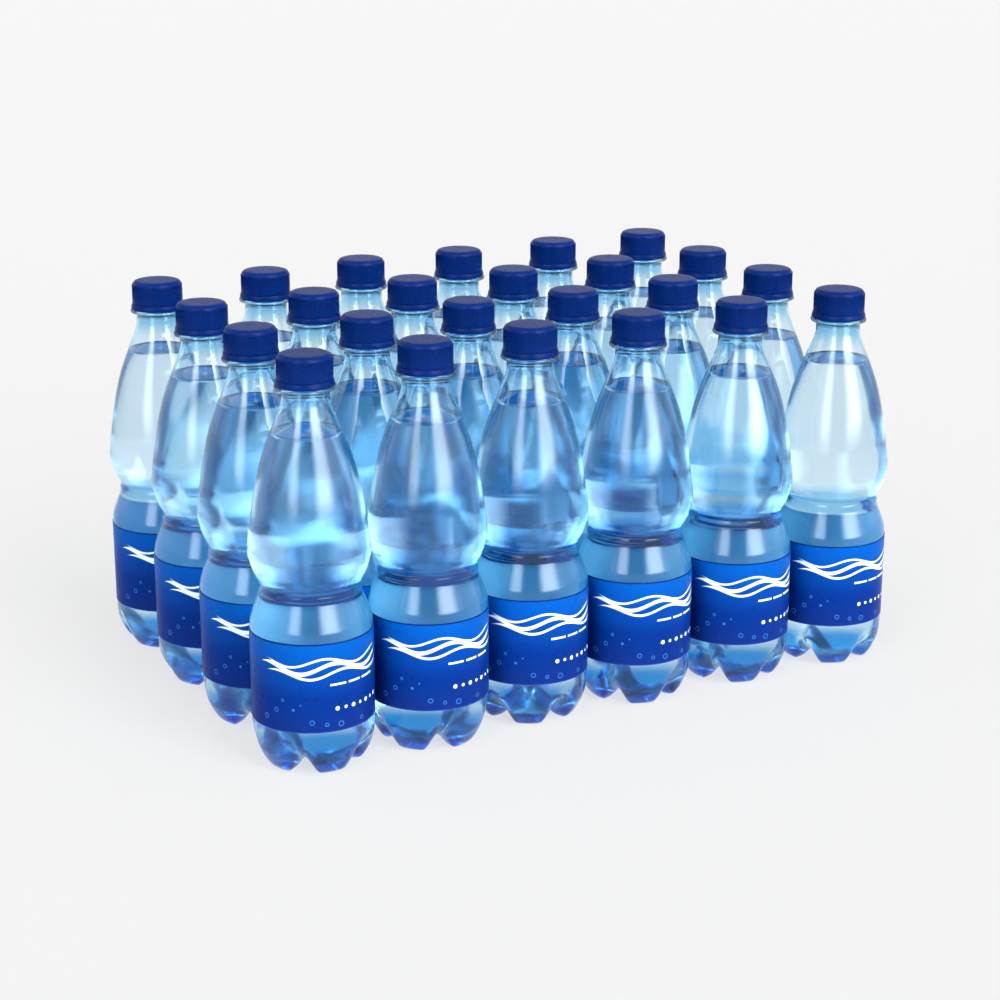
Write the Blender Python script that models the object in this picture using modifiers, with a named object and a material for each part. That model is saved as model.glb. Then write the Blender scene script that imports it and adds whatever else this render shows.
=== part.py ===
"""Case of sparkling water bottles: four rows of six clear half-litre bottles, standing close together.

Metres, +Z up. The origin is on the ground in the middle of the block, and +X runs along the rows of six.
A bottle is one sealed solid, with its drink and its wrap label, on a base with five feet.
Each screw cap is a solid of its own, on top of the bottle's support ring.
"""

import math

import bpy

# The block: rows of six, four deep. Each column of four stands a little out of line with the next.
COLUMNS = 6
ROWS = 4
COLUMN_PITCH = 0.0685
ROW_PITCH = 0.072
COLUMN_SHIFTS = (
    (0.0, -0.0005),
    (0.0005, -0.003),
    (-0.0005, 0.003),
    (-0.001, 0.0),
    (0.0, -0.0005),
    (0.0, -0.002),
)

# The bottle
BOTTLE_HEIGHT = 0.226  # with its cap
BODY_RADIUS = 0.0335
LABEL_BOTTOM = 0.027
LABEL_TOP = 0.077
WAIST_RADIUS = 0.0277
WAIST_BOTTOM = 0.095
WAIST_TOP = 0.104
SHOULDER_RADIUS = 0.0332
SHOULDER_HEIGHT = 0.1185
NECK_RADIUS = 0.013
NECK_HEIGHT = 0.2025
BOTTLE_STEPS = 15  # three corners for each foot

# The support ring under the cap
RING_RADIUS = 0.0164
RING_TOP = 0.2087
RING_EDGE = 0.0016  # height of its outer edge

# The five-footed base
FOOT_COUNT = 5
FOOT_ANGLE = 2 * math.pi / FOOT_COUNT
HUB_HEIGHT = 0.0045
PAD_INNER_RADIUS = 0.017
PAD_OUTER_RADIUS = 0.0245
HEEL_RADIUS = 0.031
HEEL_HEIGHT = 0.011
VALLEY_RISE = 0.0125  # of a valley's floor, from the hub out to the heel

# Which way one foot points, in degrees from +X, on the bottles whose feet show from the front and the left
FRONT_FOOT_TURNS = (52, 4, 24, 36, 36, 30)
LEFT_FOOT_TURNS = (52, 47, 65, 69)
FOOT_TURN_STEP = 0.618 * 72  # from one hidden bottle to the next

# The screw cap, with its tamper band
CAP_GAP = 0.0003
CAP_BOTTOM = RING_TOP + CAP_GAP
BAND_RADIUS = 0.0158
BAND_TOP = 0.2125
CAP_RADIUS = 0.015
CAP_RIM_RADIUS = 0.0133
CAP_RIM_DROP = 0.0022
CAP_STEPS = 16

WATER_BLUE = (0.42, 0.66, 0.84)
LABEL_BLUE = (0.01, 0.09, 0.48)
CAP_NAVY = (0.005, 0.03, 0.2)


def clear_scene():
    for obj in list(bpy.data.objects):
        bpy.data.objects.remove(obj)


def principled(name, colour, roughness):
    """A non-metallic material of one colour."""
    material = bpy.data.materials.new(name)
    material.use_nodes = True
    shader = material.node_tree.nodes["Principled BSDF"]
    shader.inputs["Base Color"].default_value = (*colour, 1.0)
    shader.inputs["Roughness"].default_value = roughness
    shader.inputs["Metallic"].default_value = 0.0
    material.diffuse_color = (*colour, 1.0)
    return material


def turned_mesh(name, profile, steps):
    """The solid that a profile of (radius, height) makes, from the axis at the top to the axis below."""
    outline = bpy.data.meshes.new(name + "_profile")
    points = [(radius, 0.0, height) for radius, height in profile]
    outline.from_pydata(points, [(i, i + 1) for i in range(len(points) - 1)], [])
    lathe = bpy.data.objects.new(name + "_lathe", outline)
    bpy.context.scene.collection.objects.link(lathe)
    screw = lathe.modifiers.new("Screw", "SCREW")
    screw.steps = steps
    screw.render_steps = steps
    screw.use_merge_vertices = True
    screw.merge_threshold = 0.00001
    bpy.context.view_layer.update()
    turned = lathe.evaluated_get(bpy.context.evaluated_depsgraph_get())
    mesh = bpy.data.meshes.new_from_object(turned)
    mesh.name = name
    bpy.data.objects.remove(lathe)
    bpy.data.meshes.remove(outline)
    return mesh


def bottle_profile():
    """From the top of the support ring down to the hub of the base, along the feet."""
    return (
        (0.0, RING_TOP),
        (RING_RADIUS, RING_TOP),
        (RING_RADIUS, RING_TOP - RING_EDGE),
        (NECK_RADIUS, NECK_HEIGHT),
        (0.0191, 0.184),
        (0.0255, 0.166),
        (0.0300, 0.145),
        (SHOULDER_RADIUS, SHOULDER_HEIGHT),
        (0.0311, 0.1105),
        (WAIST_RADIUS, WAIST_TOP),
        (WAIST_RADIUS, WAIST_BOTTOM),
        (BODY_RADIUS, LABEL_TOP),
        (BODY_RADIUS, LABEL_BOTTOM),
        (HEEL_RADIUS, HEEL_HEIGHT),
        (PAD_OUTER_RADIUS, 0.0),
        (PAD_INNER_RADIUS, 0.0),
        (0.0, HUB_HEIGHT),
    )


def press_valleys(mesh):
    """Lifts the base between its feet: one corner in three, from the hub out to the heel."""
    for vertex in mesh.vertices:
        radius = math.hypot(vertex.co.x, vertex.co.y)
        angle = math.atan2(vertex.co.y, vertex.co.x)
        turns = angle / FOOT_ANGLE
        in_valley = abs(turns - round(turns)) < 0.01
        if vertex.co.z < LABEL_BOTTOM / 2 and radius > PAD_INNER_RADIUS / 2 and in_valley:
            vertex.co.z = HUB_HEIGHT + VALLEY_RISE * (radius / HEEL_RADIUS) ** 3


def bottle_mesh():
    mesh = turned_mesh("bottle", bottle_profile(), BOTTLE_STEPS)
    press_valleys(mesh)
    mesh.materials.append(principled("clear bottle and water", WATER_BLUE, 0.08))
    mesh.materials.append(principled("blue label", LABEL_BLUE, 0.35))
    for face in mesh.polygons:
        if LABEL_BOTTOM < face.center.z < LABEL_TOP:
            face.material_index = 1
    mesh.shade_smooth()
    mesh.set_sharp_from_angle(angle=math.radians(40))
    return mesh


def cap_mesh():
    profile = (
        (0.0, BOTTLE_HEIGHT),
        (CAP_RIM_RADIUS, BOTTLE_HEIGHT),
        (CAP_RADIUS, BOTTLE_HEIGHT - CAP_RIM_DROP),
        (CAP_RADIUS, BAND_TOP),
        (BAND_RADIUS, CAP_BOTTOM),
        (0.0, CAP_BOTTOM),
    )
    mesh = turned_mesh("cap", profile, CAP_STEPS)
    mesh.materials.append(principled("navy cap plastic", CAP_NAVY, 0.4))
    mesh.shade_smooth()
    mesh.set_sharp_from_angle(angle=math.radians(40))
    return mesh


def foot_turn(column, row):
    """The direction of one foot in degrees, seen or, on a hidden bottle, set by a rule."""
    if row == 0:
        return FRONT_FOOT_TURNS[column]
    if column == 0:
        return LEFT_FOOT_TURNS[row]
    return FOOT_TURN_STEP * (column + COLUMNS * row) % 72


def build_case():
    collection = bpy.data.collections.new("case of water bottles")
    bpy.context.scene.collection.children.link(collection)
    bottle = bottle_mesh()
    cap = cap_mesh()
    for column in range(COLUMNS):
        shift_x, shift_y = COLUMN_SHIFTS[column]
        x = (column - (COLUMNS - 1) / 2) * COLUMN_PITCH + shift_x
        for row in range(ROWS):
            y = (row - (ROWS - 1) / 2) * ROW_PITCH + shift_y
            # A foot of the mesh lies halfway between two valleys, the first of which is on +X.
            turn = math.radians(foot_turn(column, row)) - FOOT_ANGLE / 2
            for kind, mesh in (("bottle", bottle), ("cap", cap)):
                piece = bpy.data.objects.new(f"{kind}_{column + 1}_{row + 1}", mesh)
                piece.location = (x, y, 0.0)
                piece.rotation_euler = (0.0, 0.0, turn)
                collection.objects.link(piece)


clear_scene()
build_case()
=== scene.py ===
import math

import bpy
import numpy as np
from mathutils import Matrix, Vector


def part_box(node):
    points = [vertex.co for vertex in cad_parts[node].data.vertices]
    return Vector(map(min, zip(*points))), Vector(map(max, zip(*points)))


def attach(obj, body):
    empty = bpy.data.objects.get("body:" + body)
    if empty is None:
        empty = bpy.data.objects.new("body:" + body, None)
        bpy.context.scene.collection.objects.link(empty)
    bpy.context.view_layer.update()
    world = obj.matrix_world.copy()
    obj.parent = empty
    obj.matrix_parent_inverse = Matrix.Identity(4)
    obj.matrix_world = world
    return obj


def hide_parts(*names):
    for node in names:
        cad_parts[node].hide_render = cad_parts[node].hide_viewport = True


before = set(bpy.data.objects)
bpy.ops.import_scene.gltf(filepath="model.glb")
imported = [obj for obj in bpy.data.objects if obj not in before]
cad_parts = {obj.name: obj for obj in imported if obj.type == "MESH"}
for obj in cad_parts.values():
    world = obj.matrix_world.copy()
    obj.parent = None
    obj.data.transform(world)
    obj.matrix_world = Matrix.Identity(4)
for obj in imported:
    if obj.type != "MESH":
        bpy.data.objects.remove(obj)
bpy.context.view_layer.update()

# The bottles: clear PET, faintly blue, blown into a mould in one piece with the ring under the cap.
# A long shoulder ends in a crease above a narrow waist, and the base stands on five feet.
# All 24 are alike. They stand free, close together, each turned its own way.
MM = 0.001
COLUMNS = 6
ROWS = 4
PLACES = [(column, row) for column in range(COLUMNS) for row in range(ROWS)]
BOTTLE_HEIGHT = 226.0
BOTTLE_STEPS = 90

# Which way one foot points, in degrees from +X, on the bottles whose feet show from the front and the left
FEET = 5
FOOT_SPACING = 360 / FEET
FRONT_FOOT_TURNS = (52, 4, 24, 36, 36, 30)
LEFT_FOOT_TURNS = (52, 47, 65, 69)
FOOT_TURN_STEP = 0.618 * FOOT_SPACING  # from one hidden bottle to the next
FOOT_WIDTH = 0.4  # as a share of the way from the middle of a foot to the middle of a valley

# Outlines as (radius, height) in millimetres. The wall's goes from the neck's mouth down to the label, then
# along a foot, or along the valley between two feet, to the hub of the base.
WALL_LINE = (
    (13.0, 223.5), (13.0, 209.0), (13.0, 203.0), (13.1, 200.5), (13.7, 197.5), (15.0, 194.0), (17.0, 189.0),
    (19.1, 184.0), (21.4, 178.0), (23.6, 172.0), (25.4, 166.0), (26.9, 160.0), (28.2, 154.0), (29.3, 148.0),
    (30.3, 142.0), (31.2, 136.0), (32.0, 130.0), (32.7, 124.5), (33.1, 120.6), (33.2, 119.2), (33.0, 118.0),
    (32.6, 116.5), (31.9, 113.6), (30.9, 110.0), (29.5, 106.6), (28.1, 104.2), (27.6, 103.2), (27.3, 102.0),
    (27.3, 100.8), (27.7, 99.6), (27.8, 98.4), (27.5, 97.4), (27.6, 96.2), (28.1, 94.6), (29.0, 92.3),
    (30.0, 90.0), (30.9, 87.8), (31.8, 85.6), (32.5, 83.2), (33.0, 80.6), (33.2, 78.0), (33.2, 60.0),
    (33.2, 40.0),
)
FOOT_LINE = (
    (33.2, 27.0), (33.2, 24.0), (33.1, 20.0), (32.7, 15.5), (31.6, 11.0), (29.6, 6.5), (27.4, 2.8),
    (25.4, 0.7), (23.2, 0.0), (20.5, 0.0), (17.6, 0.5), (14.6, 2.0), (11.0, 3.7), (7.0, 4.4), (3.5, 4.6),
    (0.0, 4.6),
)
VALLEY_LINE = (
    (33.2, 27.0), (33.2, 24.5), (33.0, 22.2), (32.5, 19.9), (31.5, 17.6), (30.0, 15.4), (28.2, 13.4),
    (26.4, 11.7), (24.5, 10.2), (22.0, 8.6), (19.0, 7.2), (15.6, 6.1), (11.6, 5.2), (7.4, 4.75), (3.6, 4.6),
    (0.0, 4.6),
)
RING_LINE = (
    (13.0, 209.1), (15.9, 208.7), (16.35, 208.45), (16.4, 207.9), (16.35, 207.35), (15.9, 207.0),
    (13.6, 206.4), (13.0, 205.8),
)
RING_MARGIN = 0.3  # what the wall's outline leaves free above and below the ring
OUTLINE_STEP = 0.25
SMOOTHING_ROUNDS = 4
JOIN_DISTANCE = 0.002

# A mesh gets a new row where its outline has turned by so many degrees, or run on for so many millimetres.
OUTER_ROWS = (7.0, 5.5)
INNER_ROWS = (9.0, 7.0)

# The wall's thickness, as (height, thickness)
WALL_DEPTHS = ((0.0, 0.5), (20.0, 0.36), (190.0, 0.36), (203.0, 1.3))

# What light keeps as it crosses the wall, by height: least where the PET is thick, in feet, waist and neck.
# At the foot tips it is darker still, a painted shade for the dark underside of the block.
THIN_TINT = (0.832, 0.922, 0.975)
NECK_TINT = (0.44, 0.72, 0.90)
WAIST_TINT = (0.34, 0.66, 0.90)
BASE_TINT = (0.76, 0.94, 1.0)
# The foot tips' deep blue: thick PET, and painted shade for the dark underside of the block
FOOT_TINT_AND_PAINTED_SHADE = (0.03, 0.36, 0.82)
PET_TINTS = (
    (5.0, FOOT_TINT_AND_PAINTED_SHADE), (12.0, BASE_TINT), (24.0, THIN_TINT), (92.0, THIN_TINT), (97.0, WAIST_TINT),
    (102.0, WAIST_TINT), (106.0, THIN_TINT), (190.0, THIN_TINT), (204.0, NECK_TINT),
)
PET_EDGE_TINT = (0.36, 0.85, 0.99)
PET_IOR = 1.5
EDGE_SLANTS = (0.3, 1.0)  # from where the edge tint sets in to where it is whole

# The faint ripple that moulding leaves: its strength in the PET, how fine it is, and its depth in metres
PET_RIPPLE = 0.12
RIPPLE_SCALE = 70.0
RIPPLE_STRETCH = (1.0, 1.0, 0.45)
RIPPLE_DEPTH = 0.001

# Below its level the drink wets the wall. What is wet mirrors almost nothing, and fizz blurs it a little.
WATER_LEVEL = 184.0
DRY_MIRROR = (0.78, 0.91, 1.0)
WET_MIRROR = (0.03, 0.03, 0.03)
WET_BLUR = 0.085


def smooth_through(points, at, along):
    """A smooth line through points, which doesn't swing past them. It is read at the distances in at."""
    steps = np.diff(along)[:, None]
    slopes = np.diff(points, axis=0) / steps
    before, after = slopes[:-1], slopes[1:]
    same_way = before * after > 0
    safe_before = np.where(same_way, before, 1.0)
    safe_after = np.where(same_way, after, 1.0)
    inner = np.where(same_way, 2 * safe_before * safe_after / (safe_before + safe_after), 0.0)
    tangents = np.vstack((slopes[:1], inner, slopes[-1:]))
    span = np.clip(np.searchsorted(along, at, side="right") - 1, 0, len(steps) - 1)
    share = ((at - along[span]) / steps[span, 0])[:, None]
    start, end = points[span], points[span + 1]
    return (
        (2 * share ** 3 - 3 * share ** 2 + 1) * start
        + (share ** 3 - 2 * share ** 2 + share) * steps[span] * tangents[span]
        + (3 * share ** 2 - 2 * share ** 3) * end
        + (share ** 3 - share ** 2) * steps[span] * tangents[span + 1]
    )


def fine_lines():
    """The outlines along a foot and along a valley, from the neck's mouth to the hub, in fine equal steps."""
    foot = np.array(WALL_LINE + FOOT_LINE)
    valley = np.array(WALL_LINE + VALLEY_LINE)
    along = np.concatenate(([0.0], np.cumsum(np.hypot(*np.diff(foot, axis=0).T))))
    at = np.linspace(0.0, along[-1], int(along[-1] / OUTLINE_STEP))
    lines = [smooth_through(line, at, along) for line in (foot, valley)]
    for line in lines:
        for _ in range(SMOOTHING_ROUNDS):
            line[1:-1] = 0.25 * line[:-2] + 0.5 * line[1:-1] + 0.25 * line[2:]
    return lines


def set_in(line, depths):
    """The line moved towards the bottle's inside by a depth at each point."""
    ahead = np.gradient(line, axis=0)
    ahead /= np.linalg.norm(ahead, axis=1)[:, None]
    inward = np.stack((ahead[:, 1], -ahead[:, 0]), axis=1)
    moved = line + inward * depths[:, None]
    moved[:, 0] = np.maximum(moved[:, 0], 0.0)
    moved[-1, 0] = 0.0
    return moved


def kept_rows(lines, turn, reach):
    """The rows that a mesh needs: a new one wherever a line has turned or run on far enough."""
    headings = [np.unwrap(np.arctan2(*np.gradient(line, axis=0).T)) for line in lines]
    rows = [0]
    for i in range(1, len(lines[0]) - 1):
        bend = max(abs(heading[i] - heading[rows[-1]]) for heading in headings)
        run = max(np.hypot(*(line[i] - line[rows[-1]])) for line in lines)
        if bend > math.radians(turn) or run > reach:
            rows.append(i)
    return rows + [len(lines[0]) - 1]


def tree_with(name, sockets):
    """A node tree for shapes, with named inputs, a geometry output, and its two end nodes."""
    tree = bpy.data.node_groups.new(name, "GeometryNodeTree")
    tree.interface.new_socket("Geometry", in_out="INPUT", socket_type="NodeSocketGeometry")
    for label, kind in sockets:
        tree.interface.new_socket(label, in_out="INPUT", socket_type="NodeSocket" + kind)
    tree.interface.new_socket("Geometry", in_out="OUTPUT", socket_type="NodeSocketGeometry")
    return tree, tree.nodes.new("NodeGroupInput"), tree.nodes.new("NodeGroupOutput")


def place(tree, kind, *values, **settings):
    """Adds a node with a value for each input in turn: a socket is linked, None passed over, the rest set."""
    node = tree.nodes.new(kind)
    for label, setting in settings.items():
        setattr(node, label, setting)
    open_inputs = [socket for socket in node.inputs if socket.enabled]
    for socket, value in zip(open_inputs, values):
        if isinstance(value, bpy.types.NodeSocket):
            tree.links.new(value, socket)
        elif value is not None:
            socket.default_value = value
    return node


def maths(tree, operation, *values):
    """The result of a Math node."""
    return place(tree, "ShaderNodeMath", *values, operation=operation).outputs[0]


def named_value(tree, name, kind):
    """A value that is stored on the mesh under a name."""
    return place(tree, "GeometryNodeInputNamedAttribute", name, data_type=kind).outputs[0]


def read_at(tree, line, value, row, kind):
    """A value of the line's point at a row."""
    sample = place(tree, "GeometryNodeSampleIndex", line, value, row, data_type=kind, domain="POINT")
    return sample.outputs[0]


def turning_tree():
    """Turns a line about an upright axis, with the line's valley shift coming in between the feet.

    The UV map goes round once, and up once over the picture's height. Each row keeps whether it is wet.
    """
    sockets = (
        ("Steps", "Int"), ("Feet", "Float"), ("Foot turn", "Float"), ("Foot width", "Float"),
        ("Centre", "Vector"), ("Picture bottom", "Float"), ("Picture height", "Float"),
        ("Material", "Material"),
    )
    tree, given, result = tree_with("turned_with_feet", sockets)
    line = given.outputs["Geometry"]
    count = place(tree, "GeometryNodeAttributeDomainSize", line).outputs["Point Count"]
    columns = maths(tree, "ADD", given.outputs["Steps"], 1.0)
    grid = place(tree, "GeometryNodeMeshGrid", 1.0, 1.0, columns, count)
    around, down, _ = place(tree, "ShaderNodeSeparateXYZ", grid.outputs["UV Map"]).outputs

    row = maths(tree, "MULTIPLY", down, maths(tree, "SUBTRACT", count, 1.0))
    row = place(tree, "FunctionNodeFloatToInt", row, rounding_mode="ROUND").outputs[0]
    position = tree.nodes.new("GeometryNodeInputPosition").outputs[0]
    on_foot = read_at(tree, line, position, row, "FLOAT_VECTOR")
    shift = read_at(tree, line, named_value(tree, "valley_shift", "FLOAT_VECTOR"), row, "FLOAT_VECTOR")
    wet = read_at(tree, line, named_value(tree, "wet", "FLOAT"), row, "FLOAT")

    from_foot = maths(tree, "FRACT", maths(tree, "MULTIPLY_ADD", around, given.outputs["Feet"], 0.5))
    from_foot = maths(tree, "ABSOLUTE", maths(tree, "MULTIPLY_ADD", from_foot, 2.0, -1.0))
    into_valley = place(
        tree, "ShaderNodeMapRange", from_foot, given.outputs["Foot width"], 1.0, 0.0, 1.0,
        interpolation_type="SMOOTHSTEP",
    ).outputs[0]
    shifted = place(tree, "ShaderNodeVectorMath", shift, operation="SCALE")
    tree.links.new(into_valley, shifted.inputs["Scale"])
    on_line = place(tree, "ShaderNodeVectorMath", on_foot, shifted.outputs[0], operation="ADD").outputs[0]

    radius, _, height = place(tree, "ShaderNodeSeparateXYZ", on_line).outputs
    angle = maths(tree, "MULTIPLY_ADD", around, 2 * math.pi, given.outputs["Foot turn"])
    x = maths(tree, "MULTIPLY", radius, maths(tree, "COSINE", angle))
    y = maths(tree, "MULTIPLY", radius, maths(tree, "SINE", angle))
    turned = place(tree, "ShaderNodeCombineXYZ", x, y, height).outputs[0]
    turned = place(tree, "ShaderNodeVectorMath", turned, given.outputs["Centre"], operation="ADD").outputs[0]

    up_picture = maths(tree, "SUBTRACT", height, given.outputs["Picture bottom"])
    up_picture = maths(tree, "DIVIDE", up_picture, given.outputs["Picture height"])
    picture = place(tree, "ShaderNodeCombineXYZ", around, up_picture, 0.0).outputs[0]
    mapped = place(
        tree, "GeometryNodeStoreNamedAttribute", grid.outputs["Mesh"], None, "UVMap", picture,
        data_type="FLOAT2", domain="CORNER",
    )
    marked = place(
        tree, "GeometryNodeStoreNamedAttribute", mapped.outputs[0], None, "wet", wet,
        data_type="FLOAT", domain="POINT",
    )
    shaped = place(tree, "GeometryNodeSetPosition", marked.outputs[0], None, turned)
    joined = place(tree, "GeometryNodeMergeByDistance", shaped.outputs[0], None, JOIN_DISTANCE * MM)
    whole = place(tree, "GeometryNodeRealizeInstances", joined.outputs[0])
    painted = place(tree, "GeometryNodeSetMaterial", whole.outputs[0], None, given.outputs["Material"])
    tree.links.new(painted.outputs[0], result.inputs[0])
    return tree


def made_by(tree, name, source, inputs):
    """The plain mesh that a tree makes from a source mesh, as an object at the origin."""
    piece = bpy.data.objects.new(name, source)
    bpy.context.scene.collection.objects.link(piece)
    modifier = piece.modifiers.new(tree.name, "NODES")
    modifier.node_group = tree
    for socket in tree.interface.items_tree:
        if socket.in_out == "INPUT" and socket.name in inputs:
            modifier[socket.identifier] = inputs[socket.name]
    bpy.context.view_layer.update()
    made = piece.evaluated_get(bpy.context.evaluated_depsgraph_get())
    mesh = bpy.data.meshes.new_from_object(made)
    mesh.name = name
    piece.modifiers.clear()
    piece.data = mesh
    mesh.materials.clear()
    mesh.materials.append(inputs["Material"])
    mesh.polygons.foreach_set("material_index", np.zeros(len(mesh.polygons), np.int32))
    mesh.shade_smooth()
    return piece


def line_mesh(name, foot_line, valley_line=None, wet_points=None):
    """A line of (radius, height) in millimetres as a mesh in metres.

    It carries its shift to the valley line as "valley_shift", and which of its points are wet as "wet".
    """
    valley_line = foot_line if valley_line is None else valley_line
    foot, valley = (np.array(line, float) * MM for line in (foot_line, valley_line))
    mesh = bpy.data.meshes.new(name)
    points = [(radius, 0.0, height) for radius, height in foot]
    mesh.from_pydata(points, [(i, i + 1) for i in range(len(points) - 1)], [])
    shift = mesh.attributes.new("valley_shift", "FLOAT_VECTOR", "POINT")
    for item, (radius, height) in zip(shift.data, valley - foot):
        item.vector = (radius, 0.0, height)
    wet = mesh.attributes.new("wet", "FLOAT", "POINT")
    wet_points = [False] * len(points) if wet_points is None else wet_points
    wet.data.foreach_set("value", [float(point) for point in wet_points])
    return mesh


def axis_of(column, row):
    """Where a bottle's axis meets the ground: the middle of its cap's box."""
    low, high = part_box(f"cap_{column + 1}_{row + 1}")
    return Vector(((low.x + high.x) / 2, (low.y + high.y) / 2, 0.0))


def foot_turn(column, row):
    """The direction of one foot in degrees, seen or, on a hidden bottle, set by a rule."""
    if row == 0:
        return FRONT_FOOT_TURNS[column]
    if column == 0:
        return LEFT_FOOT_TURNS[row]
    return FOOT_TURN_STEP * (column + COLUMNS * row) % FOOT_SPACING


def turned_piece(name, source, material, centre, steps, turn, picture_bottom, picture_top):
    """A piece turned from a line about a bottle's axis. Its UV map goes up once over the picture."""
    inputs = {
        "Steps": steps, "Feet": float(FEET), "Foot turn": math.radians(turn), "Foot width": FOOT_WIDTH,
        "Centre": centre, "Picture bottom": picture_bottom * MM,
        "Picture height": (picture_top - picture_bottom) * MM, "Material": material,
    }
    return made_by(turner, name, source, inputs)


def new_finish(name):
    """A new material, with its node tree and its shader."""
    material = bpy.data.materials.new(name)
    material.use_nodes = True
    return material, material.node_tree, material.node_tree.nodes["Principled BSDF"]


def soft_step(tree, value, low, high):
    """0 below low and 1 above high, or the other way round where low is the greater."""
    return place(
        tree, "ShaderNodeMapRange", value, low, high, 0.0, 1.0, interpolation_type="SMOOTHSTEP"
    ).outputs[0]


def mix_colours(tree, share, first, second):
    """The first colour where the share is 0 and the second where it is 1."""
    mix = tree.nodes.new("ShaderNodeMix")
    mix.data_type = "RGBA"
    for label, value in (("Factor_Float", share), ("A_Color", first), ("B_Color", second)):
        socket = next(s for s in mix.inputs if s.identifier == label)
        if isinstance(value, bpy.types.NodeSocket):
            tree.links.new(value, socket)
        else:
            socket.default_value = (*value, 1.0)
    return next(s for s in mix.outputs if s.identifier == "Result_Color")


def colour_ramp(tree, value, stops):
    """The colour at a value from 0 to 1, through stops of (value, colour)."""
    ramp = tree.nodes.new("ShaderNodeValToRGB")
    ramp.color_ramp.interpolation = "EASE"
    elements = ramp.color_ramp.elements
    while len(elements) < len(stops):
        elements.new(0.5)
    for element, (share, colour) in zip(elements, stops):
        element.position = share
        element.color = (*colour, 1.0)
    tree.links.new(value, ramp.inputs[0])
    return ramp.outputs[0]


def clouds(tree, where, scale):
    """Soft noise: a greater scale makes it finer."""
    noise = place(tree, "ShaderNodeTexNoise", where)
    noise.inputs["Scale"].default_value = scale
    return noise


def add_relief(tree, shader, height, strength, depth):
    """Lets a height from 0 to 1 show as relief in the light. The depth is in metres."""
    bump = tree.nodes.new("ShaderNodeBump")
    bump.inputs["Strength"].default_value = strength
    bump.inputs["Distance"].default_value = depth
    tree.links.new(height, bump.inputs["Height"])
    tree.links.new(bump.outputs[0], shader.inputs["Normal"])


def clear_material(name, tints, edge_tint, ior, ripple=0.0):
    """A clear material. Its tint goes by height and deepens where light crosses it at a slant.

    Where the mesh's "wet" value is 1, it mirrors almost nothing and blurs a little. It may ripple.
    """
    material, tree, shader = new_finish(name)
    shader.inputs["IOR"].default_value = ior
    shader.inputs["Transmission Weight"].default_value = 1.0
    where = tree.nodes.new("ShaderNodeTexCoord").outputs["Object"]
    height = place(tree, "ShaderNodeSeparateXYZ", where).outputs[2]
    stops = [(level / BOTTLE_HEIGHT, colour) for level, colour in tints]
    tint = colour_ramp(tree, maths(tree, "DIVIDE", height, BOTTLE_HEIGHT * MM), stops)
    slant = place(tree, "ShaderNodeLayerWeight", 0.5).outputs["Facing"]
    tint = mix_colours(tree, soft_step(tree, slant, *EDGE_SLANTS), tint, edge_tint)
    tree.links.new(tint, shader.inputs["Base Color"])

    wet = tree.nodes.new("ShaderNodeAttribute")
    wet.attribute_name = "wet"
    mirror = mix_colours(tree, wet.outputs["Fac"], DRY_MIRROR, WET_MIRROR)
    tree.links.new(mirror, shader.inputs["Specular Tint"])
    tree.links.new(maths(tree, "MULTIPLY", wet.outputs["Fac"], WET_BLUR), shader.inputs["Roughness"])

    if ripple:
        stretched = place(tree, "ShaderNodeMapping", where, None, None, RIPPLE_STRETCH).outputs[0]
        waves = clouds(tree, stretched, RIPPLE_SCALE)
        waves.inputs["Detail"].default_value = 1.5
        add_relief(tree, shader, waves.outputs[0], ripple, RIPPLE_DEPTH)
    return material


def wall_line(outer, inner, rows_out, rows_in):
    """From the hub up the outside, round the ring, over the mouth and down the inside to the hub."""
    outside = [tuple(outer[i]) for i in reversed(rows_out)]
    below_ring = [point for point in outside if point[1] < RING_LINE[-1][1] - RING_MARGIN]
    above_ring = [point for point in outside if point[1] > RING_LINE[0][1] + RING_MARGIN]
    return below_ring + list(reversed(RING_LINE)) + above_ring + [tuple(inner[i]) for i in rows_in]


turner = turning_tree()
clear_pet = clear_material("clear_blue_pet", PET_TINTS, PET_EDGE_TINT, PET_IOR, PET_RIPPLE)
foot_side, valley_side = fine_lines()
depths = np.interp(foot_side[:, 1], *zip(*WALL_DEPTHS))
inner_foot, inner_valley = set_in(foot_side, depths), set_in(valley_side, depths)
rows_out = kept_rows((foot_side, valley_side), *OUTER_ROWS)
rows_in = kept_rows((inner_foot, inner_valley), *INNER_ROWS)
wall_over_foot = wall_line(foot_side, inner_foot, rows_out, rows_in)
wall_over_valley = wall_line(valley_side, inner_valley, rows_out, rows_in)
mouth = len(wall_over_foot) - len(rows_in)
wet_points = [i > mouth and point[1] < WATER_LEVEL for i, point in enumerate(wall_over_foot)]
wall_source = line_mesh("wall_line", wall_over_foot, wall_over_valley, wet_points)
for column, row in PLACES:
    wall = turned_piece(
        f"wall_{column + 1}_{row + 1}", wall_source, clear_pet, axis_of(column, row), BOTTLE_STEPS,
        foot_turn(column, row), 0.0, BOTTLE_HEIGHT,
    )
    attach(wall, "root")
    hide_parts(f"bottle_{column + 1}_{row + 1}")

# The drink: clear sparkling water up to the lower neck, with a small meniscus where it climbs the wall.
# Its skin lies halfway into the bottle's wall, so no air shows between the two. A trace of blue light of its
# own, a painted glow, stands for what its fine bubbles scatter.
WATER_TINTS = ((0.0, (0.93, 0.975, 1.0)), (WATER_LEVEL, (0.94, 0.98, 1.0)))
WATER_EDGE_TINT = (0.12, 0.60, 0.92)
WATER_IOR = 1.333
FIZZ_GLOW_COLOUR = (0.05, 0.55, 1.0)
FIZZ_GLOW_STRENGTH = 0.014

# The meniscus, as (distance in from the drink's edge, rise above its level)
MENISCUS = ((0.0, 0.9), (0.35, 0.55), (0.9, 0.22), (1.8, 0.06), (3.2, 0.0))
SKIN_END = 0.5  # how far below the level the skin in the wall ends

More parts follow.
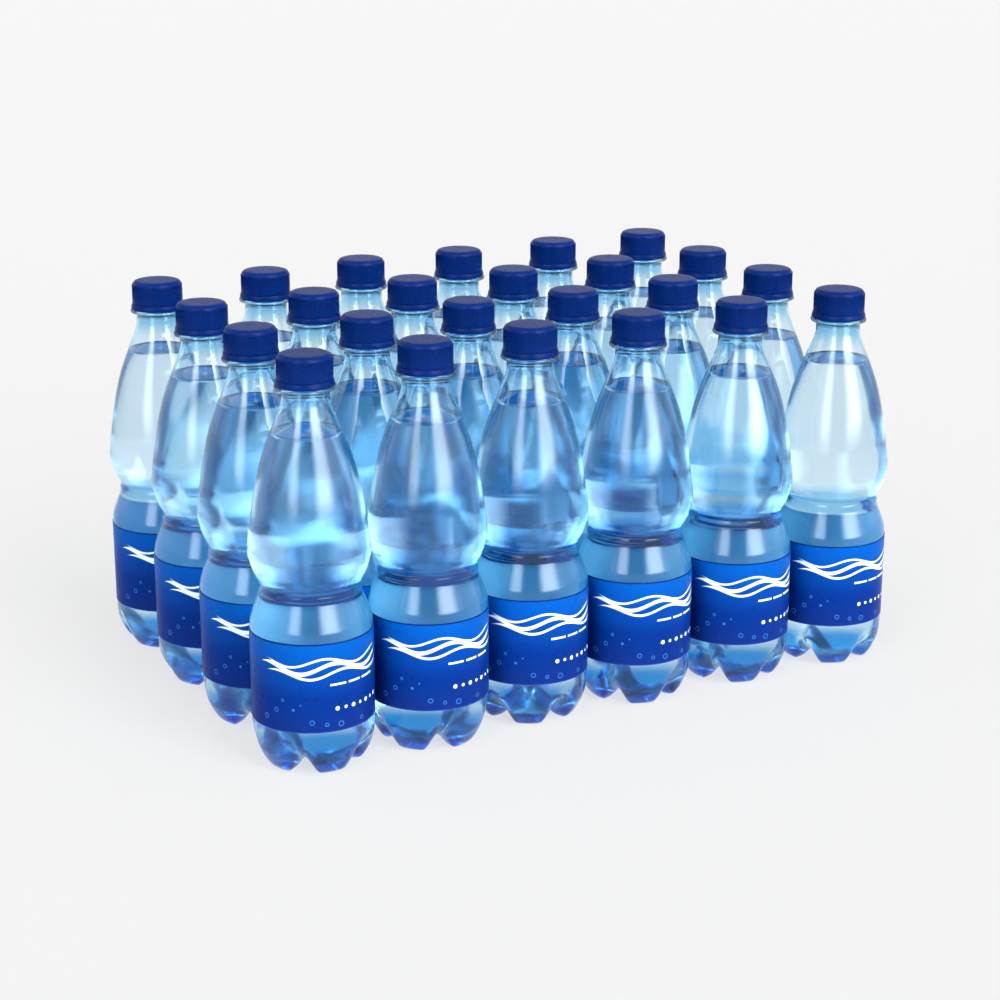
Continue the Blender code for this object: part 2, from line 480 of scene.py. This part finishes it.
sparkling_water = clear_material("sparkling_water", WATER_TINTS, WATER_EDGE_TINT, WATER_IOR)
water_shader = sparkling_water.node_tree.nodes["Principled BSDF"]
# A painted glow: the drink gives off a little blue light of its own
water_shader.inputs["Emission Color"].default_value = (*FIZZ_GLOW_COLOUR, 1.0)
water_shader.inputs["Emission Strength"].default_value = FIZZ_GLOW_STRENGTH
half_foot, half_valley = set_in(foot_side, depths / 2), set_in(valley_side, depths / 2)
rows_up = reversed(kept_rows((half_foot, half_valley), *INNER_ROWS))
skin_rows = [i for i in rows_up if half_foot[i, 1] < WATER_LEVEL - SKIN_END]
edge_height = WATER_LEVEL + MENISCUS[0][1]
edge_radius = float(np.interp(-edge_height, -half_foot[:, 1], half_foot[:, 0]))
surface = [(edge_radius - inset, WATER_LEVEL + rise) for inset, rise in MENISCUS]
surface += [(edge_radius / 2, WATER_LEVEL), (0.0, WATER_LEVEL)]
water_source = line_mesh(
    "water_line",
    [tuple(half_foot[i]) for i in skin_rows] + surface,
    [tuple(half_valley[i]) for i in skin_rows] + surface,
    [True] * len(skin_rows) + [False] * len(surface),
)
for column, row in PLACES:
    water = turned_piece(
        f"water_{column + 1}_{row + 1}", water_source, sparkling_water, axis_of(column, row), BOTTLE_STEPS,
        foot_turn(column, row), 0.0, BOTTLE_HEIGHT,
    )
    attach(water, "root")
    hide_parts(f"bottle_{column + 1}_{row + 1}")

# The labels: printed film wrapped round the lower body, in blues that deepen towards the bottom.
# The print is a plain white wave, drops and bars. The film's back, seen through the drink, is sky blue:
# partly the back's own colour and partly painted light, for what shines in through the blue print from
# outside.
LABEL_BOTTOM = 27.0
LABEL_TOP = 77.0
LABEL_RADIUS = 33.5
LABEL_THICKNESS = 0.42
LABEL_LENGTH = 2 * math.pi * LABEL_RADIUS
LABEL_ROWS = 6
LABEL_FRONT = 255  # where the middle of the print is, in degrees from +X
PRINTS = 2.0  # how often the print is repeated round the bottle
SHARP_EDGE = 50  # from how many degrees on an edge stays sharp
LABEL_BLUES = (
    (0.00, (0.003, 0.016, 0.128)), (0.35, (0.0006, 0.0175, 0.144)), (0.62, (0.0006, 0.033, 0.206)),
    (0.85, (0.0006, 0.054, 0.280)), (1.00, (0.0006, 0.064, 0.300)),
)
PRINT_WHITE = (0.72, 0.86, 0.95)
DROP_BLUE = (0.05, 0.24, 0.60)
BEAD_BLUE = (0.001, 0.02, 0.15)
TOP_LINE_BLUE = (0.001, 0.012, 0.120)
BOTTOM_LINE_BLUE = (0.03, 0.06, 0.30)
FILM_ROUGHNESS = (0.26, 0.36)
CREASE_SCALE = 120.0
CREASE_RELIEF = (0.08, 0.001)
# Partly the back's own colour, partly painted light for what shines in through the blue print
BACK_BLUES = ((0.19, 0.50, 0.67), (0.21, 0.53, 0.69))
BACK_PATCH_SCALE = 60.0

# The print in millimetres, across from its middle and up from the label's bottom. A wave has its level,
# height, length, start, stroke and two ends, and it thins out over the taper.
WAVES = (
    (36.0, 2.6, 38.0, 0.4, 1.2, (-38.0, 44.0)), (32.6, 2.2, 38.0, -0.5, 0.8, (-34.0, 46.0)),
    (39.4, 2.2, 38.0, 1.3, 0.7, (-34.0, 42.0)),
)
WAVE_TAPER = 12.0
BARS = ((4.0, 13.5), (15.0, 23.0), (24.5, 34.0))
BAR_BOTTOM = 26.0
BAR_TOP = 27.4
BAR_BLUR = 0.3
MARK_BLUR = 0.25
RING_STROKE = (0.32, 0.1)

# The row of dots and the scattered drops, as (across, up, radius, whether it is filled)
DOTS = [(8.0 + 5.0 * i, 13.0, 1.0 if i % 2 else 1.3, True) for i in range(7)]
DROPS = (
    (-16.0, 13.0, 0.9, True), (-12.0, 16.0, 0.6, True), (-22.0, 18.0, 0.7, False), (-26.0, 12.0, 1.1, False),
    (-6.0, 6.0, 1.2, False), (2.0, 4.5, 0.9, False), (10.0, 4.0, 1.4, False), (-33.0, 7.0, 1.3, False),
    (24.0, 4.0, 1.0, False),
)

# The small dark beads near the label's top, and the thin lines at its top and bottom
BEADS_PER_MM = (0.35, 0.35, 0.0)
BEAD_EDGE = (0.25, 0.1)
BEAD_HEIGHTS = (38.0, 48.0)
TOP_LINE = (49.1, 49.4)
BOTTOM_LINE = (0.5, 0.2)

# How far each ink covers what is below it
WHITE_COVER = 0.85
DROP_COVER = 0.45
BEAD_COVER = 0.35


def wave_mark(tree, across, up, level, height, length, start, stroke, ends):
    """A stroke along a sine wave that thins out towards its two ends."""
    phase = maths(tree, "MULTIPLY_ADD", across, 2 * math.pi / length, start)
    middle = maths(tree, "MULTIPLY_ADD", maths(tree, "SINE", phase), height, level)
    away = maths(tree, "ABSOLUTE", maths(tree, "SUBTRACT", up, middle))
    left, right = ends
    from_left = soft_step(tree, across, left, left + WAVE_TAPER)
    from_right = soft_step(tree, across, right, right - WAVE_TAPER)
    reach = maths(tree, "MULTIPLY", maths(tree, "MULTIPLY", from_left, from_right), stroke)
    return soft_step(tree, maths(tree, "SUBTRACT", reach, away), 0.0, MARK_BLUR)


def drop_mark(tree, across, up, x, y, size, filled):
    """A round drop, filled or as a thin ring."""
    offset_x = maths(tree, "SUBTRACT", across, x)
    offset_y = maths(tree, "SUBTRACT", up, y)
    squares = maths(tree, "MULTIPLY_ADD", offset_x, offset_x, maths(tree, "MULTIPLY", offset_y, offset_y))
    distance = maths(tree, "SQRT", squares)
    if filled:
        return soft_step(tree, distance, size, size - MARK_BLUR)
    return soft_step(tree, maths(tree, "ABSOLUTE", maths(tree, "SUBTRACT", distance, size)), *RING_STROKE)


def bar_mark(tree, across, up, left, right):
    """A flat bar."""
    from_left = soft_step(tree, across, left, left + BAR_BLUR)
    from_right = soft_step(tree, across, right, right - BAR_BLUR)
    from_bottom = soft_step(tree, up, BAR_BOTTOM, BAR_BOTTOM + BAR_BLUR)
    from_top = soft_step(tree, up, BAR_TOP, BAR_TOP - BAR_BLUR)
    sides = maths(tree, "MULTIPLY", from_left, from_right)
    return maths(tree, "MULTIPLY", sides, maths(tree, "MULTIPLY", from_bottom, from_top))


def all_of(tree, marks):
    """Several marks as one."""
    whole = marks[0]
    for mark in marks[1:]:
        whole = maths(tree, "MAXIMUM", whole, mark)
    return whole


def uneven_roughness(tree, shader, noise, roughness):
    """Lets the roughness go between two values, as a noise does."""
    spread = place(tree, "ShaderNodeMapRange", noise, 0.3, 0.7, *roughness).outputs[0]
    tree.links.new(spread, shader.inputs["Roughness"])


def printed_film():
    """Satin film, printed by its UV map and very slightly creased."""
    material, tree, shader = new_finish("printed_label_film")
    spot = place(tree, "ShaderNodeUVMap", uv_map="UVMap").outputs[0]
    u, v, _ = place(tree, "ShaderNodeSeparateXYZ", spot).outputs
    print_share = maths(tree, "FRACT", maths(tree, "MULTIPLY_ADD", u, PRINTS, 0.5))
    across = maths(tree, "MULTIPLY", maths(tree, "SUBTRACT", print_share, 0.5), LABEL_LENGTH / PRINTS)
    up = maths(tree, "MULTIPLY", v, LABEL_TOP - LABEL_BOTTOM)

    marks = [wave_mark(tree, across, up, *wave) for wave in WAVES]
    marks += [bar_mark(tree, across, up, *bar) for bar in BARS]
    marks += [drop_mark(tree, across, up, *dot) for dot in DOTS]
    white = all_of(tree, marks)
    drops = all_of(tree, [drop_mark(tree, across, up, *drop) for drop in DROPS])
    in_mm = place(tree, "ShaderNodeCombineXYZ", across, up, 0.0).outputs[0]
    in_beads = place(tree, "ShaderNodeVectorMath", in_mm, BEADS_PER_MM, operation="MULTIPLY").outputs[0]
    cells = place(tree, "ShaderNodeTexVoronoi")
    cells.inputs["Scale"].default_value = 1.0
    tree.links.new(in_beads, cells.inputs["Vector"])
    beads = soft_step(tree, cells.outputs["Distance"], *BEAD_EDGE)
    beads = maths(tree, "MULTIPLY", beads, soft_step(tree, up, *BEAD_HEIGHTS))

    colour = colour_ramp(tree, v, LABEL_BLUES)
    inks = (
        (maths(tree, "MULTIPLY", beads, BEAD_COVER), BEAD_BLUE),
        (maths(tree, "MULTIPLY", drops, DROP_COVER), DROP_BLUE),
        (maths(tree, "MULTIPLY", white, WHITE_COVER), PRINT_WHITE),
        (soft_step(tree, up, *TOP_LINE), TOP_LINE_BLUE),
        (soft_step(tree, up, *BOTTOM_LINE), BOTTOM_LINE_BLUE),
    )
    for cover, ink in inks:
        colour = mix_colours(tree, cover, colour, ink)
    tree.links.new(colour, shader.inputs["Base Color"])

    shader.inputs["IOR"].default_value = 1.5
    shader.inputs["Specular IOR Level"].default_value = 0.03
    where = tree.nodes.new("ShaderNodeTexCoord").outputs["Object"]
    creases = clouds(tree, where, CREASE_SCALE).outputs[0]
    uneven_roughness(tree, shader, creases, FILM_ROUGHNESS)
    add_relief(tree, shader, creases, *CREASE_RELIEF)
    return material


def film_back():
    """The film's unprinted back. Its sky blue is partly painted light, for what shines in through the print.
    """
    material, tree, shader = new_finish("label_film_back")
    where = tree.nodes.new("ShaderNodeTexCoord").outputs["Object"]
    colour = mix_colours(tree, clouds(tree, where, BACK_PATCH_SCALE).outputs[0], *BACK_BLUES)
    tree.links.new(colour, shader.inputs["Base Color"])
    shader.inputs["Roughness"].default_value = 0.5
    return material


def show_back(label, back, centre):
    """Gives the upright faces that look inwards the film's back."""
    label.data.materials.append(back)
    for face in label.data.polygons:
        outwards = Vector((face.center.x - centre.x, face.center.y - centre.y, 0.0))
        is_edge = abs(face.normal.z) > 0.5
        face.material_index = 0 if face.normal.dot(outwards) > 0 or is_edge else 1


film = printed_film()
film_inside = film_back()
inside_radius = LABEL_RADIUS - LABEL_THICKNESS
label_heights = np.linspace(LABEL_BOTTOM, LABEL_TOP, LABEL_ROWS)
label_line = [(inside_radius, LABEL_BOTTOM)] + [(LABEL_RADIUS, height) for height in label_heights]
label_line += [(inside_radius, height) for height in reversed(label_heights)]
label_source = line_mesh("label_line", label_line)
for column, row in PLACES:
    centre = axis_of(column, row)
    label = turned_piece(
        f"label_{column + 1}_{row + 1}", label_source, film, centre, BOTTLE_STEPS,
        LABEL_FRONT - 180, LABEL_BOTTOM, LABEL_TOP,
    )
    show_back(label, film_inside, centre)
    label.data.set_sharp_from_angle(angle=math.radians(SHARP_EDGE))
    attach(label, "root")
    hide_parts(f"bottle_{column + 1}_{row + 1}")

# The caps: navy screw caps of moulded plastic with a rounded top edge and fine grip ribs.
# The tamper band below is joined to the cap in the mould and flares out over the bottle's ring.
CAP_LINE = (
    (0.0, 224.4), (13.2, 224.4), (13.2, 209.0), (15.2, 209.0), (15.7, 209.1), (15.85, 209.5), (15.8, 210.4),
    (15.45, 211.6), (15.25, 212.2), (14.7, 212.35), (14.7, 212.75), (15.0, 212.9), (14.85, 217.0),
    (14.7, 222.2), (14.6, 223.4), (14.2, 224.7), (13.5, 225.5), (12.5, 225.9), (11.0, 226.0), (6.0, 225.95),
    (0.0, 225.9),
)
CAP_BOTTOM = 209.0
CAP_STEPS = 72

# The ribs: upright rods sunk into the cap's side, thinner towards their two ends
RIB_COUNT = 100
RIB_SEAT = 14.62
RIB_RADIUS = 0.36
RIB_BOTTOM = 213.1
RIB_TOP = 223.6
RIB_POINTS = 6
RIB_CORNERS = 6
RIB_TAPER = 0.2  # as a share of its length
RIB_END = 0.35  # as a share of its radius

CAP_BLUES = ((0.0003, 0.0090, 0.072), (0.0003, 0.0115, 0.088))
CAP_PATCH_SCALE = 90.0
CAP_ROUGHNESS = (0.23, 0.32)
GRAIN_SCALE = 900.0
GRAIN_RELIEF = (0.1, 0.0002)


def rib_tree():
    """Sets upright ribs round a turned cap."""
    sockets = (
        ("Ribs", "Int"), ("Rib seat", "Float"), ("Rib radius", "Float"), ("Rib bottom", "Vector"),
        ("Rib top", "Vector"), ("Centre", "Vector"), ("Material", "Material"),
    )
    tree, given, result = tree_with("ribbed_cap", sockets)
    ends = given.outputs["Rib bottom"], given.outputs["Rib top"]
    spine = place(tree, "GeometryNodeCurvePrimitiveLine", *ends)
    spine = place(tree, "GeometryNodeResampleCurve", spine.outputs[0], None, RIB_POINTS)
    along = tree.nodes.new("GeometryNodeSplineParameter").outputs["Factor"]
    from_end = maths(tree, "MINIMUM", along, maths(tree, "SUBTRACT", 1.0, along))
    swell = place(tree, "ShaderNodeMapRange", from_end, 0.0, RIB_TAPER, RIB_END, 1.0).outputs[0]
    spine = place(tree, "GeometryNodeSetCurveRadius", spine.outputs[0], None, swell)
    section = place(tree, "GeometryNodeCurvePrimitiveCircle", RIB_CORNERS, given.outputs["Rib radius"])
    rib = tree.nodes.new("GeometryNodeCurveToMesh")
    tree.links.new(spine.outputs[0], rib.inputs["Curve"])
    tree.links.new(section.outputs[0], rib.inputs["Profile Curve"])
    rib.inputs["Fill Caps"].default_value = True

    seats = place(tree, "GeometryNodeMeshCircle", given.outputs["Ribs"], given.outputs["Rib seat"])
    copies = tree.nodes.new("GeometryNodeInstanceOnPoints")
    tree.links.new(seats.outputs[0], copies.inputs["Points"])
    tree.links.new(rib.outputs[0], copies.inputs["Instance"])
    whole = place(tree, "GeometryNodeRealizeInstances", copies.outputs[0])
    moved = place(tree, "GeometryNodeTransform")
    tree.links.new(whole.outputs[0], moved.inputs["Geometry"])
    tree.links.new(given.outputs["Centre"], moved.inputs["Translation"])
    both = tree.nodes.new("GeometryNodeJoinGeometry")
    tree.links.new(given.outputs["Geometry"], both.inputs[0])
    tree.links.new(moved.outputs[0], both.inputs[0])
    painted = place(tree, "GeometryNodeSetMaterial", both.outputs[0], None, given.outputs["Material"])
    tree.links.new(painted.outputs[0], result.inputs[0])
    return tree


def cap_plastic():
    """Satin navy plastic with a fine grain."""
    material, tree, shader = new_finish("navy_cap_plastic")
    where = tree.nodes.new("ShaderNodeTexCoord").outputs["Object"]
    colour = mix_colours(tree, clouds(tree, where, CAP_PATCH_SCALE).outputs[0], *CAP_BLUES)
    tree.links.new(colour, shader.inputs["Base Color"])
    shader.inputs["IOR"].default_value = 1.45
    shader.inputs["Specular IOR Level"].default_value = 0.055
    grain = clouds(tree, where, GRAIN_SCALE).outputs[0]
    uneven_roughness(tree, shader, grain, CAP_ROUGHNESS)
    add_relief(tree, shader, grain, *GRAIN_RELIEF)
    return material


navy = cap_plastic()
ribber = rib_tree()
cap_source = line_mesh("cap_line", CAP_LINE)
for column, row in PLACES:
    centre = axis_of(column, row)
    name = f"screw_cap_{column + 1}_{row + 1}"
    body = turned_piece(
        name + "_body", cap_source, navy, centre, CAP_STEPS, 0.0, CAP_BOTTOM, BOTTLE_HEIGHT
    )
    inputs = {
        "Ribs": RIB_COUNT, "Rib seat": RIB_SEAT * MM, "Rib radius": RIB_RADIUS * MM,
        "Rib bottom": (0.0, 0.0, RIB_BOTTOM * MM), "Rib top": (0.0, 0.0, RIB_TOP * MM),
        "Centre": centre, "Material": navy,
    }
    cap = made_by(ribber, name, body.data, inputs)
    bpy.data.objects.remove(body)
    cap.data.set_sharp_from_angle(angle=math.radians(SHARP_EDGE))
    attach(cap, "root")
    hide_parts(f"cap_{column + 1}_{row + 1}")

# The studio: a pale floor with a faint glow of its own, under soft even light. A bright softbox on each side
# of the camera draws the upright streaks on each shoulder, the right one broad and the left one narrow. Dim
# light from both sides, from behind and from the horizon keeps the block clear from every side. No ray is
# aimed at the floor's glow or at the lights, because an aimed ray ends at the first clear wall.
FLOOR_RADIUS = 14.0
FLOOR_CORNERS = 96
FLOOR_GREY = (0.10, 0.10, 0.10)
FLOOR_GLOW = 0.66
WHITE = (1.0, 1.0, 1.0)

# The camera: its bearing and rise as in the photo, in degrees, and its distance and target in metres
CAMERA_AZIMUTH = -28.80
CAMERA_RISE = 17.04
CAMERA_DISTANCE = 1.307
CAMERA_TARGET = (-0.0256, -0.0539, 0.110)
CAMERA_LENS = 80.70
CAMERA_SENSOR = 36.0

# Each softbox: its middle direction, half width and soft edge in degrees round from the camera, its lowest
# and highest direction above the ground, and what it adds to the even light
EVEN_LIGHT = 0.42
TOP_LIGHT = 0.40
TOP_LIGHT_RISES = (35.0, 75.0)
LOWER_EDGE = 4.0
UPPER_EDGE = 6.0
SOFTBOXES = (
    (41.0, 16.0, 10.0, 2.0, 62.0, 11.5), (46.0, 24.0, 12.0, 2.0, 62.0, 1.8),
    (-27.0, 10.0, 7.0, 2.0, 62.0, 8.5), (-85.0, 50.0, 12.0, 4.0, 66.0, 0.95),
    (90.0, 34.0, 12.0, 4.0, 66.0, 1.05), (180.0, 70.0, 20.0, -5.0, 30.0, 0.2),
    (3.0, 20.0, 6.0, -10.0, 62.0, -0.06), (0.0, 200.0, 10.0, -20.0, 5.0, 0.45),
)


def pale_floor():
    """A wide round floor."""
    bpy.ops.mesh.primitive_circle_add(vertices=FLOOR_CORNERS, radius=FLOOR_RADIUS, fill_type="NGON")
    floor = bpy.context.object
    floor.name = "floor"
    paint, _, shader = new_finish("pale_floor")
    shader.inputs["Base Color"].default_value = (*FLOOR_GREY, 1.0)
    shader.inputs["Emission Color"].default_value = (*WHITE, 1.0)
    shader.inputs["Emission Strength"].default_value = FLOOR_GLOW
    shader.inputs["Roughness"].default_value = 0.8
    shader.inputs["Specular IOR Level"].default_value = 0.2
    paint.cycles.emission_sampling = "NONE"
    floor.data.materials.append(paint)
    return floor


def studio_light():
    """A world lit by direction: even all round, with a soft light above and the softboxes."""
    world = bpy.data.worlds.new("studio")
    bpy.context.scene.world = world
    world.use_nodes = True
    world.cycles.sampling_method = "NONE"
    tree = world.node_tree
    background = tree.nodes["Background"]
    towards = tree.nodes.new("ShaderNodeTexCoord").outputs["Generated"]
    x, y, z = place(tree, "ShaderNodeSeparateXYZ", towards).outputs
    bearing = maths(tree, "DEGREES", maths(tree, "ARCTAN2", x, maths(tree, "MULTIPLY", y, -1.0)))
    rise = maths(tree, "DEGREES", maths(tree, "ARCSINE", z))
    light = maths(tree, "MULTIPLY", soft_step(tree, rise, *TOP_LIGHT_RISES), TOP_LIGHT)
    for middle, half_width, edge, low, high, brightness in SOFTBOXES:
        away = maths(tree, "ABSOLUTE", maths(tree, "SUBTRACT", bearing, CAMERA_AZIMUTH + middle))
        away = maths(tree, "MINIMUM", away, maths(tree, "SUBTRACT", 360.0, away))
        lit = soft_step(tree, away, half_width + edge, half_width - edge)
        from_below = soft_step(tree, rise, low - LOWER_EDGE, low + LOWER_EDGE)
        from_above = soft_step(tree, rise, high + UPPER_EDGE, high - UPPER_EDGE)
        lit = maths(tree, "MULTIPLY", lit, maths(tree, "MULTIPLY", from_below, from_above))
        light = maths(tree, "MULTIPLY_ADD", lit, brightness, light)
    tree.links.new(maths(tree, "ADD", light, EVEN_LIGHT), background.inputs["Strength"])
    background.inputs["Color"].default_value = (*WHITE, 1.0)


def photo_camera():
    """A camera at the photo's viewing angle."""
    azimuth, rise = math.radians(CAMERA_AZIMUTH), math.radians(CAMERA_RISE)
    back = Vector((math.sin(azimuth) * math.cos(rise), -math.cos(azimuth) * math.cos(rise), math.sin(rise)))
    camera = bpy.data.objects.new("camera", bpy.data.cameras.new("camera"))
    camera.data.lens = CAMERA_LENS
    camera.data.sensor_width = CAMERA_SENSOR
    camera.location = Vector(CAMERA_TARGET) + back * CAMERA_DISTANCE
    camera.rotation_euler = (-back).to_track_quat("-Z", "Y").to_euler()
    bpy.context.scene.collection.objects.link(camera)
    return camera


floor = pale_floor()
studio_light()
bpy.context.scene.camera = photo_camera()
bpy.context.scene.view_settings.view_transform = "Standard"

# Light crosses many clear walls on its way through the block, so its paths may be long.
cycles = bpy.context.scene.cycles
cycles.max_bounces = 32
cycles.transmission_bounces = 32
cycles.diffuse_bounces = 8
cycles.glossy_bounces = 8
cycles.blur_glossy = 0.0
